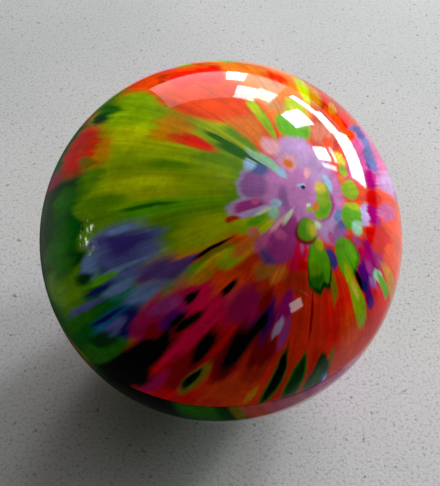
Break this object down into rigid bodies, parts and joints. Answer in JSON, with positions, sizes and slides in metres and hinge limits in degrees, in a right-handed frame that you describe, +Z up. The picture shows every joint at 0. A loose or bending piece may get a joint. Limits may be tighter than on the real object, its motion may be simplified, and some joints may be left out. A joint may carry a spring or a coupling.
{
  "type": "juggling ball",
  "caption": "Hard glossy shell ball for juggling, marbled in streaks, with a level parting line, a flush filler plug and loose weighting inside.",
  "frame": {"origin": "centre of the ball, where its axis meets the parting plane between the shells", "axes": "+Z up along the axis, square to the parting plane and away from the filler plug; +X right and +Y away, seen from the front"},
  "size_m": [0.072, 0.072, 0.0718],
  "materials": {
    "upper_marble": "gloss",
    "lower_marble": "gloss",
    "cement": "satin",
    "plug": "satin",
    "grains": "matte"
  },
  "bodies": {
    "ball": {"upper_shell": "upper_marble", "lower_shell": "lower_marble", "seam_cement": "cement", "filler_plug": "plug"},
    "filling": {"filling": "grains"}
  },
  "joints": [
    {"name": "filling_shift", "type": "hinge", "parent": "ball", "child": "filling", "pos_m": [0, 0, 0], "axis": [0, 1, 0], "continuous": true}
  ]
}
